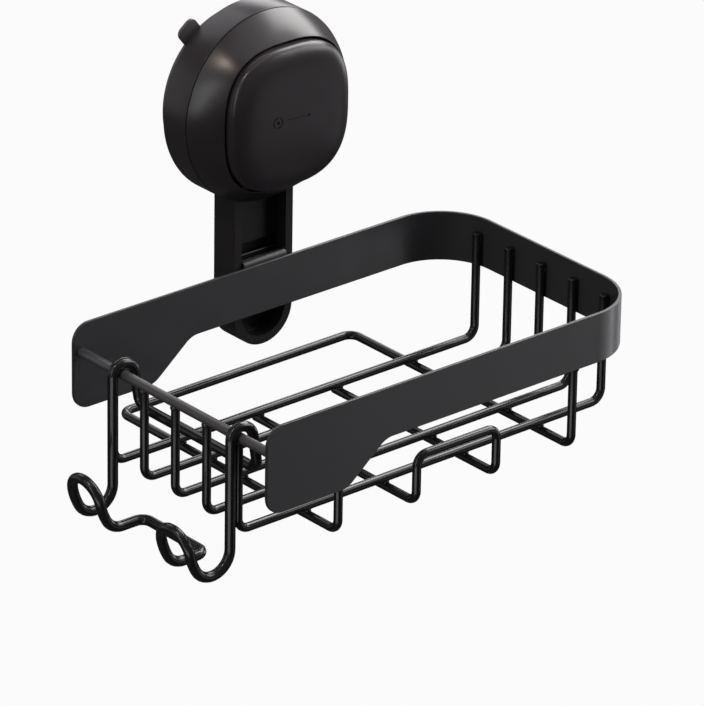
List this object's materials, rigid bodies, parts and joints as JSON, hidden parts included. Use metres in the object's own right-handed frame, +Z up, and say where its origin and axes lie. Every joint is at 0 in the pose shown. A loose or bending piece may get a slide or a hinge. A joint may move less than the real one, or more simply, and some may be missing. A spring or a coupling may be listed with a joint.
{
  "type": "suction soap dish",
  "caption": "Wall-mounted wire soap basket that hangs by a tab on the arm of a press-lock suction head, with a sliding double wire hook on its open end.",
  "frame": {"origin": "The centre of the suction pad's wall face.", "axes": "+X runs along the basket from its open end with the hooks, +Y points into the wall, +Z is up."},
  "size_m": [0.1838, 0.117, 0.1483],
  "materials": {
    "soft_rubber": "soft black rubber",
    "black_plastic": "satin black moulded plastic",
    "bare_steel": "plain zinc-coated steel",
    "coated_steel": "satin black powder coat"
  },
  "bodies": {
    "head": {"suction_pad": "soft_rubber", "base_plate": "black_plastic", "housing_shell": "black_plastic", "housing_screw_1": "bare_steel", "housing_screw_2": "bare_steel", "housing_screw_3": "bare_steel", "lever_pin_left": "bare_steel", "lever_pin_right": "bare_steel", "return_spring_upper": "bare_steel", "return_spring_lower": "bare_steel", "arm": "black_plastic", "arm_screw_left": "bare_steel", "arm_screw_right": "bare_steel", "foot_pad": "soft_rubber"},
    "button": {"push_button": "black_plastic", "button_carrier": "black_plastic"},
    "left_lever": {"lever_left": "black_plastic"},
    "right_lever": {"lever_right": "black_plastic"},
    "stem": {"pad_stem": "black_plastic", "stem_collar": "black_plastic"},
    "basket": {"band": "coated_steel", "cross_bar": "coated_steel", "rack_wire_1": "coated_steel", "rack_wire_2": "coated_steel", "rack_wire_3": "coated_steel", "rack_wire_4": "coated_steel", "rack_wire_5": "coated_steel", "base_frame": "coated_steel", "bridge_loop": "coated_steel"},
    "hook": {"double_hook": "coated_steel"}
  },
  "joints": [
    {"name": "button_press", "type": "slide", "parent": "head", "child": "button", "axis": [0, 1, 0], "range_m": [0, 0.004], "stiffness_N_per_m": 900, "springref_m": -0.004, "deforming": ["return_spring_upper", "return_spring_lower"]},
    {"name": "lever_left_rock", "type": "hinge", "parent": "head", "child": "left_lever", "pos_m": [-0.012, -0.01087, 0], "axis": [0, 0, -1], "range_deg": [0, 25.6]},
    {"name": "lever_right_rock", "type": "hinge", "parent": "head", "child": "right_lever", "pos_m": [0.012, -0.01087, 0], "axis": [0, 0, 1], "range_deg": [0, 25.6]},
    {"name": "stem_lift", "type": "slide", "parent": "head", "child": "stem", "axis": [0, -1, 0], "range_m": [0, 0.0029], "deforming": ["suction_pad"]},
    {"name": "basket_lift", "type": "slide", "parent": "head", "child": "basket", "axis": [0, 0, 1], "range_m": [0, 0.014]},
    {"name": "hook_slide", "type": "slide", "parent": "basket", "child": "hook", "axis": [0, 1, 0], "range_m": [-0.014, 0.0185]}
  ],
  "couplings": [
    {"joint": "lever_left_rock", "follows": "button_press", "rad_per_m": 111.1},
    {"joint": "lever_right_rock", "follows": "button_press", "rad_per_m": 111.1},
    {"joint": "stem_lift", "follows": "button_press", "ratio": 0.7222}
  ]
}
